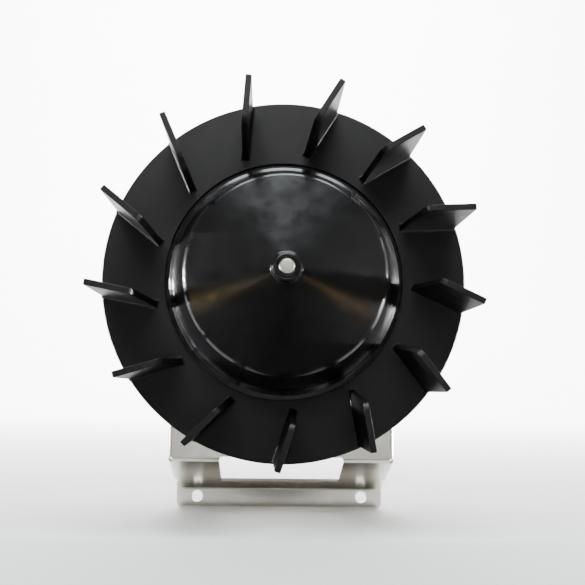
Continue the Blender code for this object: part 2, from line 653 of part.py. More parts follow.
def make_fasteners():
    head = SHELL_FRONT + GAP
    tail = SHELL_REAR - GAP
    bolt_end = tail - NUT_HEIGHT - 1.5 * MM
    bolt = turned("through_bolt", [
        (0, head + 3 * MM), (BOLT_HEAD - 0.6 * MM, head + 3 * MM), (BOLT_HEAD, head + 2.2 * MM),
        (BOLT_HEAD, head), (BOLT_RADIUS, head), (BOLT_RADIUS, bolt_end), (0, bolt_end)],
        SMALL_FACETS, ZINC_STEEL, closed=False)
    repeated(bolt, "through_bolt", around(BOLT_CIRCLE, BOLT_ANGLES))
    clear_hole = circle(BOLT_RADIUS + GAP, SMALL_FACETS)
    nut = plate("nut", [hexagon(NUT_WIDTH), clear_hole], tail - NUT_HEIGHT, tail, ZINC_STEEL)
    repeated(nut, "through_bolt_nut", around(BOLT_CIRCLE, BOLT_ANGLES))

    corners = around(EAR_CIRCLE, EAR_ANGLES)
    front_face = -PLATE_FRONT + GAP
    back_face = -PLATE_FRONT - SHEET - GAP
    front_lip = front_face + LIP_THICKNESS
    back_lip = back_face - LIP_THICKNESS
    lip = GROMMET_LIP
    bore = GROMMET_BORE
    neck = GROMMET_HOLE - GAP
    edge = 0.6 * MM
    grommet = turned("mount_grommet", [
        (bore, front_lip), (lip - edge, front_lip), (lip, front_lip - edge), (lip, front_face),
        (neck, front_face), (neck, back_face), (lip, back_face), (lip, back_lip + edge),
        (lip - edge, back_lip), (bore, back_lip)], SMALL_FACETS, RUBBER)
    repeated(grommet, "mount_grommet", corners)
    sleeve_front = front_lip + GAP
    sleeve = ring("mount_sleeve", BOLT_RADIUS + GAP, bore - GAP, EAR_FRONT + GAP, sleeve_front,
                  SMALL_FACETS, ZINC_STEEL)
    repeated(sleeve, "mount_sleeve", corners)
    washer_back = sleeve_front + GAP
    washer = ring("mount_washer", BOLT_RADIUS + GAP, WASHER_RADIUS, washer_back, washer_back + MM,
                  SMALL_FACETS, ZINC_STEEL)
    repeated(washer, "mount_washer", corners)
    under_head = washer_back + MM + GAP
    nut_face = EAR_FRONT - EAR_THICKNESS - GAP
    screw_end = nut_face - NUT_HEIGHT - 1.4 * MM
    screw = turned("mount_screw", [
        (0, under_head + 2.6 * MM), (2.4 * MM, under_head + 2.4 * MM), (SCREW_HEAD, under_head + 1.5 * MM),
        (SCREW_HEAD, under_head), (BOLT_RADIUS, under_head), (BOLT_RADIUS, screw_end), (0, screw_end)],
        SMALL_FACETS, ZINC_STEEL, closed=False)
    repeated(screw, "mount_screw", corners)
    nut = plate("nut", [hexagon(NUT_WIDTH), clear_hole], nut_face - NUT_HEIGHT, nut_face, ZINC_STEEL)
    repeated(nut, "mount_nut", corners)


def make_terminals(rear_shell):
    """Plug-on terminal block with two tabs, held by a screw between them."""
    face = SHELL_REAR - GAP
    middle = (BLOCK_LOW + BLOCK_HIGH) / 2
    outline = rounded_rectangle(-BLOCK_HALF_WIDTH, BLOCK_HALF_WIDTH, BLOCK_LOW, BLOCK_HIGH, 1.2 * MM, 2)
    block = plate("terminal_block", [outline], face - BLOCK_DEPTH, face, NYLON)
    well_depth = face - 2 * MM - BLOCK_DEPTH / 2
    tab_depth = face - 2.4 * MM - TAB_SIZE[2] / 2
    for hand, x in (("left", -TAB_SPREAD), ("right", TAB_SPREAD)):
        boolean(block, box(hand + "_well", WELL_SIZE, (x, middle, well_depth)), 'DIFFERENCE')
        tab = box(hand + "_terminal_tab", TAB_SIZE, (x, middle, tab_depth), collection=PARTS)
        tab.data.materials.append(BRASS)

    def drilled(name, target, radius, far, near):
        cutter = plate(name, [circle(radius, SMALL_FACETS, (0, middle))], far, near, collection=CUTTERS)
        boolean(target, cutter, 'DIFFERENCE')

    outside = face - BLOCK_DEPTH - MM
    head_seat = face - 3.4 * MM
    drilled("block_bore", block, TERMINAL_SHANK + GAP, outside, face + MM)
    drilled("block_counterbore", block, TERMINAL_HEAD + GAP, outside, head_seat)
    drilled("wall_bore", rear_shell, TERMINAL_SHANK + GAP, SHELL_REAR - MM, SHELL_REAR + 3 * MM)
    head = head_seat - GAP
    end = SHELL_REAR + 3.5 * MM
    screw = turned("terminal_screw", [
        (0, end), (TERMINAL_SHANK, end), (TERMINAL_SHANK, head), (TERMINAL_HEAD, head),
        (TERMINAL_HEAD, head - 1.4 * MM), (TERMINAL_HEAD - 0.8 * MM, head - 2 * MM), (0, head - 2 * MM)],
        SMALL_FACETS, ZINC_STEEL, closed=False)
    screw.location = (0, middle, 0)


# ---------------------------------------------------------------- bracket

def add_quads(bm, columns):
    """Add the quads between columns of points that stand side by side."""
    lines = [[bm.verts.new(point) for point in column] for column in columns]
    for a, b in zip(lines, lines[1:]):
        for i in range(len(a) - 1):
            bm.faces.new((a[i], a[i + 1], b[i + 1], b[i]))


def add_side_return(bm, side, start, end, inward, trim, bend_steps):
    """Add the bend and side return between two section points; trim slants its two ends."""
    flat = PLATE_HALF_WIDTH - SHEET / 2 - BEND
    along = (end - start).normalized()
    quarter = math.pi / 2 / bend_steps
    profile = [(flat + BEND * math.sin(quarter * i), BEND * (1 - math.cos(quarter * i)))
               for i in range(bend_steps + 1)]
    profile.append((flat + BEND, RETURN_DEPTH))
    columns = []
    for x, depth in profile:
        first = start + inward * depth + along * trim[0] * depth
        last = end + inward * depth + along * trim[1] * depth
        columns.append([(side * x, p.x, p.y) for p in (first, last)])
    add_quads(bm, columns)


def bracket_sheet(bend_steps):
    """The bracket's folded middle surface; its section is a list of (y, z) points."""
    half_sheet = SHEET / 2
    plate_y = DISC_FACE_Y + PLATE_FRONT + half_sheet
    fold = Vector((plate_y, AXIS_HEIGHT - FOLD_DROP + half_sheet))
    slope = Vector((math.cos(WEB_SLOPE), -math.sin(WEB_SLOPE)))
    web_up = Vector((math.sin(WEB_SLOPE), math.cos(WEB_SLOPE)))
    foot = fold + slope * (-half_sheet - plate_y) / slope.x
    top = Vector((plate_y, AXIS_HEIGHT + PLATE_TOP))
    edge = Vector((-half_sheet, -FLANGE_DROP))
    bends = rounded_path([top, fold, foot, edge], BEND, bend_steps)[1:-1]
    plate_end = fold + Vector((0, BEND_RELIEF))
    web_start = fold + slope * BEND_RELIEF
    web_end = fold + slope * WEB_RETURN_END
    tail = [web_end + slope * TAIL_STEP] + bends[bend_steps + 1:] + [edge]
    section = [top, plate_end] + bends[:bend_steps + 1] + [web_start, web_end] + tail
    flat = PLATE_HALF_WIDTH - half_sheet - BEND
    mitre = math.tan((math.pi / 2 - WEB_SLOPE) / 2)

    bm = bmesh.new()
    add_quads(bm, [[(x, p.x, p.y) for p in section] for x in (-flat, flat)])
    for side in (-1, 1):
        add_side_return(bm, side, top, plate_end, Vector((1, 0)), (0, -mitre), bend_steps)
        add_side_return(bm, side, web_start, web_end, web_up, (mitre, WEB_RETURN_SLANT), bend_steps)
        add_quads(bm, [[(side * x, p.x, p.y) for p in tail] for x in (flat, TAIL_HALF_WIDTH)])
    bmesh.ops.remove_doubles(bm, verts=bm.verts, dist=0.00001)
    bmesh.ops.recalc_face_normals(bm, faces=bm.faces)
    mesh = bpy.data.meshes.new("motor_bracket")
    bm.to_mesh(mesh)
    bm.free()
    return mesh


def make_bracket():
    """Folded sheet bracket: plate, sloping web, fixing flange and side returns."""
    mesh = bracket_sheet(bend_steps=3)
    bracket = link(bpy.data.objects.new("motor_bracket", mesh), mat=BRIGHT_STEEL)
    solidify = bracket.modifiers.new("thickness", 'SOLIDIFY')
    solidify.thickness = SHEET
    solidify.offset = 0
    solidify.use_even_offset = True
    back = -PLATE_FRONT - SHEET
    window_top = WINDOW_RISE - FOLD_DROP
    window = rounded_rectangle(-WINDOW_HALF_WIDTH, WINDOW_HALF_WIDTH, window_top - WINDOW_DEPTH, window_top,
                               WINDOW_CORNER)
    cuts = [("window", [window], back - WINDOW_DEPTH, -PLATE_FRONT + 5 * MM),
            ("motor_hole", [circle(MOTOR_HOLE, CASE_FACETS)], back - MM, -PLATE_FRONT + MM)]
    for k, angle in enumerate(EAR_ANGLES):
        centre = (EAR_CIRCLE * math.cos(angle), EAR_CIRCLE * math.sin(angle))
        hole = circle(GROMMET_HOLE, RING_FACETS, centre)
        cuts.append(("grommet_hole_%d" % k, [hole], back - MM, -PLATE_FRONT + MM))
    flange = (DISC_FACE_Y - MM, DISC_FACE_Y + SHEET + MM)
    low = -AXIS_HEIGHT - FLANGE_DROP
    inside = TAIL_HALF_WIDTH - FLANGE_CORNER
    beyond = TAIL_HALF_WIDTH + MM
    corner = arc((inside, low + FLANGE_CORNER), FLANGE_CORNER, -math.pi / 2, 0, 4)
    corner += [(beyond, low + FLANGE_CORNER), (beyond, low - MM), (inside, low - MM)]
    for side in (-1, 1):
        hole = circle(FIXING_HOLE, RING_FACETS, (side * FIXING_SPACING / 2, -AXIS_HEIGHT))
        cuts.append(("fixing_hole_%d" % side, [hole], *flange))
        cuts.append(("flange_corner_%d" % side, [[(side * x, y) for x, y in corner]], *flange))
    for name, outlines, bottom, top in cuts:
        boolean(bracket, plate(name, outlines, bottom, top, collection=CUTTERS), 'DIFFERENCE')


# ---------------------------------------------------------------- build

make_blade_wheel()
make_hub_dome()
make_hub_clip()
make_shaft()
make_rotor()
make_stator()
make_terminals(make_shells())
make_bearings()
make_fasteners()
make_bracket()
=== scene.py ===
"""Looks of the blower wheel: fine meshes, materials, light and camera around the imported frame.

Pieces on the motor's axis are modelled in axis coordinates: their local +Z points forward along
the axis, their local +Y points up, and z = 0 is the front face of the blade disc.
"""
import json
import math

import bmesh
import bpy
from mathutils import Matrix, Vector


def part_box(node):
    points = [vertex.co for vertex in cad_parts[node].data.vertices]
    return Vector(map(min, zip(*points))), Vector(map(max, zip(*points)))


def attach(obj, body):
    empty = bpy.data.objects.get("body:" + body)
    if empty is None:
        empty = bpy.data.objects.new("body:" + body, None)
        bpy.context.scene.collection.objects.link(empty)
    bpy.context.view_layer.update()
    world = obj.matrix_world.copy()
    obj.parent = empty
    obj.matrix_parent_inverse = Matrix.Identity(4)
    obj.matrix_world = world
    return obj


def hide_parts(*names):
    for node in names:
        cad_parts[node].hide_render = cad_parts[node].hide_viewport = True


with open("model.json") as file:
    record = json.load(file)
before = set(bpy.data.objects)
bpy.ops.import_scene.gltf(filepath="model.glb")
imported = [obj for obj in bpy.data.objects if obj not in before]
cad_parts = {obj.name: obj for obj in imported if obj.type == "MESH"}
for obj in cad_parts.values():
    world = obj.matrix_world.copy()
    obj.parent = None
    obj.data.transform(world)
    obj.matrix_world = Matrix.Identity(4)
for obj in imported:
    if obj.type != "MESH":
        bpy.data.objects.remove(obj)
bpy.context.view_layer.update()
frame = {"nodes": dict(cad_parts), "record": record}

MM = 0.001
QUARTER = math.pi / 2

# The frame's own places
SHAFT_LOW, SHAFT_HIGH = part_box("motor_shaft")
WHEEL_LOW, WHEEL_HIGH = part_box("blade_wheel")
FLOOR_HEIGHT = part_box("motor_bracket")[0].z
DISC_THICKNESS = 2.5 * MM
AXIS_HEIGHT = (SHAFT_LOW.z + SHAFT_HIGH.z) / 2
DISC_FACE_Y = WHEEL_HIGH.y - DISC_THICKNESS
AXIS = Matrix.Translation((0, DISC_FACE_Y, AXIS_HEIGHT)) @ Matrix.Rotation(QUARTER, 4, 'X')

# Blade wheel
WHEEL_RADIUS = 82.5 * MM
DISC_OPENING = 54.0 * MM
DISC_LIP = 1.2 * MM
REBATE_RADIUS = 57.0 * MM
BLADE_COUNT = 13
BLADE_HEIGHT = DISC_FACE_Y - WHEEL_LOW.y
BLADE_HALF = 1.3 * MM
BLADE_INNER_ROOT = 58.5 * MM
BLADE_INNER_FRONT = 63.0 * MM
BLADE_TIP = 82.03 * MM
BLADE_SWEEP = math.radians(16)
FIRST_BLADE = math.radians(101.8)
INNER_CORNER = 3.0 * MM             # front corner of a blade, towards the hub
OUTER_CORNER = 0.8 * MM
BLADE_EDGE = 0.3 * MM               # rounding along a blade's front edge
BLADE_END_EDGE = 0.45 * MM          # rounding of a blade's upright edges
BLADE_FILLET = 0.9 * MM             # moulded fillet where a blade meets the disc
BLADE_DRAFT = 0.12 * MM             # extra half thickness at a blade's root

# Dome, as (radius, height) from the front face of the disc
BOSS_FRONT = 48.9 * MM
BOSS_REAR = 31.0 * MM
BOSS_RADIUS = 6.0 * MM
BOSS_REAR_RADIUS = 6.8 * MM
CONE_HEAD = (6.3 * MM, 44.6 * MM)
CONE_FOOT = (43.8 * MM, 29.0 * MM)
SIDE_FOOT = (50.0 * MM, 3.6 * MM)
BEAD_RADIUS = 51.8 * MM
BEAD_HEIGHT = 2.6 * MM
DOME_FLANGE = 56.5 * MM
DOME_FLANGE_THICKNESS = 1.4 * MM

# Motor
SHAFT_RADIUS = 3.175 * MM
SHELL_RADIUS = 41.5 * MM
SHELL_WALL = 1.5 * MM
SHELL_SEAM = -12.0 * MM
SHELL_FRONT = 22.0 * MM
SHELL_REAR = -48.0 * MM
NOSE_RADIUS = 9.8 * MM
NOSE_LENGTH = 4.3 * MM
BEARING_POCKET = 8.5 * MM           # from the end wall's outside to the pocket's inner end
BOLT_CIRCLE = 29.5 * MM
BOLT_ANGLES = [math.radians(45 + 90 * k) for k in range(4)]
EAR_CIRCLE = 51.5 * MM
EAR_ANGLES = [math.radians(a) for a in (45, 135, 270)]
EAR_FRONT = -16.3 * MM
EAR_THICKNESS = 3.0 * MM
EAR_HALF_WIDTH = 6.5 * MM
VENT_INNER, VENT_OUTER = 13.5 * MM, 25.0 * MM
VENT_HALF_WIDTH = 2.4 * MM
VENT_CORNER = 2.3 * MM
SCREW_RADIUS = 2.0 * MM
NUT_WIDTH = 7.0 * MM
NUT_HEIGHT = 3.2 * MM
BOLT_HEAD = 3.6 * MM
SCREW_HEAD = 3.5 * MM
WASHER_RADIUS = 6.0 * MM
GROMMET_LIP = 6.4 * MM
GROMMET_BORE = 3.4 * MM
LIP_THICKNESS = 2.0 * MM
BLOCK_SCREW_RADIUS = 1.6 * MM
BLOCK_SCREW_HEIGHT = 19 * MM        # of the terminal block's screw above the axis
GAP = 0.3 * MM

# Bracket
SHEET = 1.2 * MM
BEND = 1.3 * MM
BEND_RELIEF = 1.2 * MM
PLATE_FRONT = 12.5 * MM
PLATE_HALF_WIDTH = 52.0 * MM
PLATE_TOP = 50.0 * MM
FOLD_DROP = 82.3 * MM
WEB_SLOPE = math.radians(21.5)
RETURN_DEPTH = 15.0 * MM
WEB_RETURN_END = 31.0 * MM
WEB_RETURN_SLANT = -0.35            # slant of the web's side returns at their rear end
TAIL_STEP = 1.5 * MM                # from the side returns to the full-width tail
TAIL_HALF_WIDTH = 51.2 * MM
FLANGE_DROP = 6.2 * MM
FLANGE_CORNER = 3.0 * MM
MOTOR_HOLE = 43.0 * MM
GROMMET_HOLE = 5.0 * MM
FIXING_HOLE = 2.75 * MM
FIXING_SPACING = 82.0 * MM
WINDOW_HALF_WIDTH = 28.5 * MM
WINDOW_CORNER = 1.5 * MM
WINDOW_TOP = -FOLD_DROP + 2.2 * MM
WINDOW_DEPTH = 28.6 * MM

# Camera
CAMERA_PLACE = (-0.00918, -0.47095, 0.05335)
CAMERA_YAW, CAMERA_PITCH, CAMERA_ROLL = (math.radians(a) for a in (-1.79, 96.03, 0.66))
CAMERA_LENS = 56.6                  # millimetres, on a 36 mm sensor

# Dark cards on the floor
CARDS_FRONT, CARDS_BACK = -1.9, -0.1
STRIP_HALF_WIDTH = 0.16

WHEEL_STEPS = 312                   # segments round the disc and the dome
CASE_STEPS = 160
SMALL_STEPS = 48


# ---------------------------------------------------------------- materials

class Finish:
    """A procedural material: colour patches, roughness variation and layers of bump."""

    def __init__(self, name, dark, light, roughness, patch=120.0, **sockets):
        self.material = bpy.data.materials.new(name)
        self.material.use_nodes = True
        self.nodes = self.material.node_tree.nodes
        self.links = self.material.node_tree.links
        self.shader = self.nodes["Principled BSDF"]
        self.place = self.nodes.new("ShaderNodeTexCoord").outputs["Object"]
        self.normal = None
        patches = self.noise(patch, 4)
        self.colour = self.mix(patches, dark, light)
        self.links.new(self.colour, self.shader.inputs["Base Color"])
        self.spread(self.noise(patch * 2.3, 5), roughness, "Roughness")
        for socket, value in sockets.items():
            self.shader.inputs[socket.replace("_", " ")].default_value = value

    def stretched(self, stretch):
        mapping = self.nodes.new("ShaderNodeMapping")
        mapping.inputs["Scale"].default_value = stretch
        self.links.new(self.place, mapping.inputs["Vector"])
        return mapping.outputs["Vector"]

    def noise(self, scale, detail=3, stretch=(1, 1, 1)):
        """Noise from about 0.3 to 0.7, with a scale in cells per metre."""
        node = self.nodes.new("ShaderNodeTexNoise")
        node.inputs["Scale"].default_value = scale
        node.inputs["Detail"].default_value = detail
        self.links.new(self.stretched(stretch), node.inputs["Vector"])
        return node.outputs["Fac"]

    def bands(self, scale, axis, distortion=0.0):
        """Fine even bands across one local axis, with a scale in radians per metre."""
        node = self.nodes.new("ShaderNodeTexWave")
        node.bands_direction = axis
        node.inputs["Scale"].default_value = scale / 20
        node.inputs["Distortion"].default_value = distortion
        self.links.new(self.place, node.inputs["Vector"])
        return node.outputs["Fac"]

    def mapped(self, value, low, high, start=0.3, end=0.7):
        node = self.nodes.new("ShaderNodeMapRange")
        node.inputs["From Min"].default_value = start
        node.inputs["From Max"].default_value = end
        node.inputs["To Min"].default_value = low
        node.inputs["To Max"].default_value = high
        self.links.new(value, node.inputs["Value"])
        return node.outputs["Result"]

    def mix(self, factor, first, second):
        node = self.nodes.new("ShaderNodeMix")
        node.data_type = 'RGBA'
        self.links.new(self.mapped(factor, 0, 1), node.inputs["Factor"])
        for socket, colour in (("A", first), ("B", second)):
            target = next(s for s in node.inputs if s.name == socket and s.type == 'RGBA')
            if isinstance(colour, tuple):
                target.default_value = (*colour, 1)
            else:
                self.links.new(colour, target)
        return next(s for s in node.outputs if s.type == 'RGBA')

    def tint(self, factor, colour):
        """Lay another colour over what is there, where the factor is high."""
        self.colour = self.mix(factor, self.colour, colour)
        self.links.new(self.colour, self.shader.inputs["Base Color"])

    def spread(self, value, limits, socket):
        self.links.new(self.mapped(value, *limits), self.shader.inputs[socket])

    def soften_edges(self, straight, grazing):
        """Weaken the sheen where the surface turns away, as a fine moulded grain does."""
        node = self.nodes.new("ShaderNodeLayerWeight")
        self.shader.inputs["Specular IOR Level"].default_value = straight
        level = self.mapped(node.outputs["Facing"], straight, grazing, 0.25, 0.8)
        self.links.new(level, self.shader.inputs["Specular IOR Level"])

    def bump(self, height, distance):
        """Add a layer of bump on top of the earlier ones, with its depth in metres."""
        node = self.nodes.new("ShaderNodeBump")
        node.inputs["Distance"].default_value = distance
        self.links.new(height, node.inputs["Height"])
        if self.normal:
            self.links.new(self.normal, node.inputs["Normal"])
        self.normal = node.outputs["Normal"]
        self.links.new(self.normal, self.shader.inputs["Normal"])


def plain_finish(name, dark, light, roughness, grain=(2500, 0.00001), **sockets):
    finish = Finish(name, dark, light, roughness, **sockets)
    scale, depth = grain
    finish.bump(finish.noise(scale, 3), depth)
    return finish


SATIN = Finish("satin_plastic", (0.0028, 0.0028, 0.0030), (0.0048, 0.0048, 0.0049), (0.40, 0.48), 60)
SATIN.soften_edges(0.36, 0.04)
SATIN.bump(SATIN.noise(45, 2), 0.00006)
SATIN.bump(SATIN.noise(1400, 4), 0.000012)

GLOSS = Finish("gloss_plastic", (0.0018, 0.0018, 0.0020), (0.0034, 0.0034, 0.0037), (0.17, 0.26), 70)
GLOSS.soften_edges(0.5, 0.2)
GLOSS.bump(GLOSS.noise(60, 2), 0.00004)
GLOSS.bump(GLOSS.noise(900, 5), 0.000003)

BRIGHT = Finish("bright_sheet", (0.86, 0.84, 0.78), (0.94, 0.93, 0.90), (0.19, 0.25), 40, Metallic=1.0)
BRIGHT.tint(BRIGHT.noise(25, 3), (0.86, 0.82, 0.73))
BRIGHT.bump(BRIGHT.noise(900, 1, (0.05, 1, 1)), 0.0000025)

SHAFT = Finish("turned_shaft", (0.52, 0.50, 0.46), (0.68, 0.66, 0.61), (0.3, 0.5), 400, Metallic=1.0)
SHAFT.bump(SHAFT.noise(3000, 2, (1, 1, 0.05)), 0.000006)
SHAFT.bump(SHAFT.noise(1500, 3), 0.00001)

ZINC = Finish("zinc_plate", (0.48, 0.49, 0.50), (0.66, 0.67, 0.68), (0.28, 0.46), 150, Metallic=1.0)
ZINC.tint(ZINC.noise(60, 3), (0.60, 0.60, 0.56))
ZINC.bump(ZINC.noise(1600, 4), 0.000008)

CORE = Finish("laminations", (0.10, 0.10, 0.11), (0.20, 0.20, 0.21), (0.4, 0.6), 200, Metallic=1.0)
CORE.bump(CORE.bands(2000, 'Y'), 0.00008)

WINDING = Finish("copper_winding", (0.46, 0.14, 0.05), (0.66, 0.26, 0.10), (0.2, 0.35), 300, Metallic=0.9)
WINDING.bump(WINDING.bands(2600, 'Y', 1.5), 0.0001)

SPRING = plain_finish("spring_steel", (0.10, 0.10, 0.12), (0.22, 0.22, 0.24), (0.3, 0.45), Metallic=1.0)
ALLOY = plain_finish("cast_alloy", (0.55, 0.55, 0.57), (0.70, 0.70, 0.72), (0.4, 0.6),
                     grain=(1200, 0.00003), Metallic=1.0)
BRONZE = plain_finish("sintered_bronze", (0.40, 0.27, 0.12), (0.56, 0.40, 0.20), (0.4, 0.6),
                      grain=(4000, 0.00003), Metallic=1.0)
BRASS = plain_finish("tab_brass", (0.60, 0.44, 0.18), (0.76, 0.60, 0.30), (0.2, 0.36), Metallic=1.0)
NYLON = plain_finish("natural_nylon", (0.56, 0.53, 0.44), (0.68, 0.66, 0.58), (0.4, 0.52),
                     Subsurface_Weight=0.1)
FELT = plain_finish("oil_felt", (0.20, 0.17, 0.12), (0.34, 0.30, 0.22), (0.85, 0.98),
                    grain=(1800, 0.0002))
RUBBER = plain_finish("grommet_rubber", (0.012, 0.012, 0.012), (0.026, 0.026, 0.027), (0.6, 0.8),
                      grain=(1500, 0.00003))

SLOT_FINISH = {"satin_black_plastic": SATIN, "gloss_black_plastic": GLOSS, "bright_steel": BRIGHT,
               "shaft_steel": SHAFT, "spring_steel": SPRING, "nylon": NYLON, "copper": WINDING,
               "core_steel": CORE, "cast_aluminium": ALLOY, "bronze": BRONZE, "felt": FELT,
               "rubber": RUBBER, "brass": BRASS, "zinc_steel": ZINC}
NODE_SLOT = {part["node"]: part["material_slot"] for part in frame["record"]["subparts"]}
for node_name, node in frame["nodes"].items():
    node.data.materials.clear()
    node.data.materials.append(SLOT_FINISH[NODE_SLOT[node_name]].material)


# ---------------------------------------------------------------- mesh helpers

def new_mesh(name, vertices, faces):
    mesh = bpy.data.meshes.new(name)
    mesh.from_pydata([tuple(v) for v in vertices], [], faces)
    bm = bmesh.new()
    bm.from_mesh(mesh)
    bmesh.ops.remove_doubles(bm, verts=bm.verts, dist=0.000001)
    bmesh.ops.recalc_face_normals(bm, faces=bm.faces)
    bm.to_mesh(mesh)
    bm.free()
    return mesh


def new_object(name, mesh, matrix=AXIS):
    obj = bpy.data.objects.new(name, mesh)
    bpy.context.scene.collection.objects.link(obj)
    obj.matrix_world = matrix
    return obj


def rounded(corners, closed=True, steps=6):
    """A path through (x, y, radius) corners, each swapped for an arc of its radius."""
    path = []
    for i, (x, y, radius) in enumerate(corners):
        corner = Vector((x, y))
        if not radius or (not closed and i in (0, len(corners) - 1)):
            path.append(corner)
            continue
        back = (Vector(corners[i - 1][:2]) - corner).normalized()
        ahead = (Vector(corners[(i + 1) % len(corners)][:2]) - corner).normalized()
        half = back.angle(ahead) / 2
        centre = corner + (back + ahead).normalized() * radius / math.sin(half)
        start = corner + back * radius / math.tan(half) - centre
        end = corner + ahead * radius / math.tan(half) - centre
        span = start.angle(end)
        for k in range(steps + 1):
            share = k / steps
            arm = start * math.sin((1 - share) * span) + end * math.sin(share * span)
            path.append(centre + arm / math.sin(span))
    return path


def turned_mesh(name, profile, steps, closed=True):
    """Turn a profile of (radius, height) points about local z."""
    vertices = []
    for k in range(steps):
        angle = math.tau * k / steps
        vertices += [(p[0] * math.cos(angle), p[0] * math.sin(angle), p[1]) for p in profile]
    count = len(profile)
    faces = []
    for k in range(steps):
        this, following = k * count, (k + 1) % steps * count
        for i in range(count if closed else count - 1):
            j = (i + 1) % count
            faces.append((this + i, this + j, following + j, following + i))
    return new_mesh(name, vertices, faces)


def prism_mesh(name, outline, bottom, top):
    """A straight prism between two local heights."""
    count = len(outline)
    vertices = [(p[0], p[1], bottom) for p in outline] + [(p[0], p[1], top) for p in outline]
    faces = [tuple(reversed(range(count))), tuple(range(count, 2 * count))]
    faces += [(i, (i + 1) % count, count + (i + 1) % count, count + i) for i in range(count)]
    return new_mesh(name, vertices, faces)


def circle(radius, steps=SMALL_STEPS, centre=(0, 0)):
    return [(centre[0] + radius * math.cos(math.tau * k / steps),
             centre[1] + radius * math.sin(math.tau * k / steps)) for k in range(steps)]


def baked(obj):
    """Swap the object's modifiers for the mesh that they make."""
    bpy.context.view_layer.update()
    evaluated = obj.evaluated_get(bpy.context.evaluated_depsgraph_get())
    obj.data = bpy.data.meshes.new_from_object(evaluated)
    obj.modifiers.clear()


def cut(obj, meshes, operation='DIFFERENCE'):
    """Cut meshes, given in the object's own coordinates, from it or add them to it."""
    for mesh in meshes:
        tool = new_object("tool", mesh, obj.matrix_world)
        modifier = obj.modifiers.new("cut", 'BOOLEAN')
        modifier.operation = operation
        modifier.solver = 'EXACT'
        modifier.object = tool
        baked(obj)
        bpy.data.objects.remove(tool, do_unlink=True)


def round_edges(obj, width, angle=40, segments=2):
    bevel = obj.modifiers.new("edges", 'BEVEL')
    bevel.width = width
    bevel.segments = segments
    bevel.limit_method = 'ANGLE'
    bevel.angle_limit = math.radians(angle)
    bevel.harden_normals = True


def shown(obj, finish, body, nodes, sharp=40):
    """Shade a piece, give it its finish and let it stand for its CAD nodes."""
    obj.data.shade_smooth()
    obj.data.set_sharp_from_angle(angle=math.radians(sharp))
    obj.data.materials.clear()
    obj.data.materials.append(finish.material)
    weighted = obj.modifiers.new("flat_faces", 'WEIGHTED_NORMAL')
    weighted.keep_sharp = True
    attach(obj, body)
    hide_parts(*nodes)
    return obj


def around(radius, angle):
    return AXIS @ Matrix.Rotation(angle, 4, 'Z') @ Matrix.Translation((radius, 0, 0))


# ---------------------------------------------------------------- wheel

def blade_section(height):
    """Inner end, outer end and half thickness of a blade at a height above the disc."""
    root = Vector((math.cos(blade_lag()), math.sin(blade_lag()))) * BLADE_INNER_ROOT
    chord = (Vector((BLADE_TIP, 0)) - root).length
    lean = chord * (BLADE_INNER_FRONT - BLADE_INNER_ROOT) / (WHEEL_RADIUS - BLADE_INNER_ROOT)
    start = lean * max(height, 0) / BLADE_HEIGHT
    end = chord
    for radius, side in ((INNER_CORNER, -1), (OUTER_CORNER, 1)):
        over = height - (BLADE_HEIGHT - radius)
        if over > 0:
            inset = radius - math.sqrt(max(radius ** 2 - over ** 2, 0))
            if side < 0:
                start += inset
            else:
                end -= inset
    over = height - (BLADE_HEIGHT - BLADE_EDGE)
    thinner = BLADE_EDGE - math.sqrt(max(BLADE_EDGE ** 2 - over ** 2, 0)) if over > 0 else 0
    under = BLADE_FILLET - max(height, 0)
    wider = BLADE_FILLET - math.sqrt(max(BLADE_FILLET ** 2 - under ** 2, 0)) if under > 0 else 0
    draft = BLADE_DRAFT * (1 - max(height, 0) / BLADE_HEIGHT)
    half = BLADE_HALF - thinner + wider + draft
    return start - wider, end + wider * 0.3, half


def blade_lag():
    """Angle by which a blade's inner root trails its tip."""
    return math.asin(BLADE_TIP * math.sin(BLADE_SWEEP) / BLADE_INNER_ROOT) - BLADE_SWEEP


def blade_heights():
    """Heights of the sections of a blade: fine in its fillet and in its rounded front."""
    low = [BLADE_FILLET * (1 - math.cos(QUARTER * i / 6)) for i in range(7)]
    straight = [BLADE_HEIGHT * share for share in (0.15, 0.35, 0.55, 0.75, 0.9)]
    corner = [BLADE_HEIGHT - INNER_CORNER * (1 - math.sin(QUARTER * i / 10)) for i in range(10)]
    front = [BLADE_HEIGHT - BLADE_EDGE * (1 - math.sin(QUARTER * i / 4)) for i in range(5)]
    return [-0.4 * MM] + low + straight + sorted(set(corner + front))


def make_blade():
    """One blade as a loft of rounded sections; x runs out along its chord, z forward."""
    rings = []
    for height in blade_heights():
        start, end, half = blade_section(height)
        corners = [(start, -half), (end, -half), (end, half), (start, half)]
        outline = rounded([(*corner, BLADE_END_EDGE) for corner in corners], steps=4)
        rings.append([(p.x, p.y, height) for p in outline])
    count = len(rings[0])
    vertices = [p for ring in rings for p in ring]
    faces = []
    for k in range(len(rings) - 1):
        for i in range(count):
            j = (i + 1) % count
            faces.append((k * count + i, k * count + j, (k + 1) * count + j, (k + 1) * count + i))
    faces.append(tuple(range((len(rings) - 1) * count, len(rings) * count)))
    faces.append(tuple(reversed(range(count))))
    return new_mesh("blade", vertices, faces)


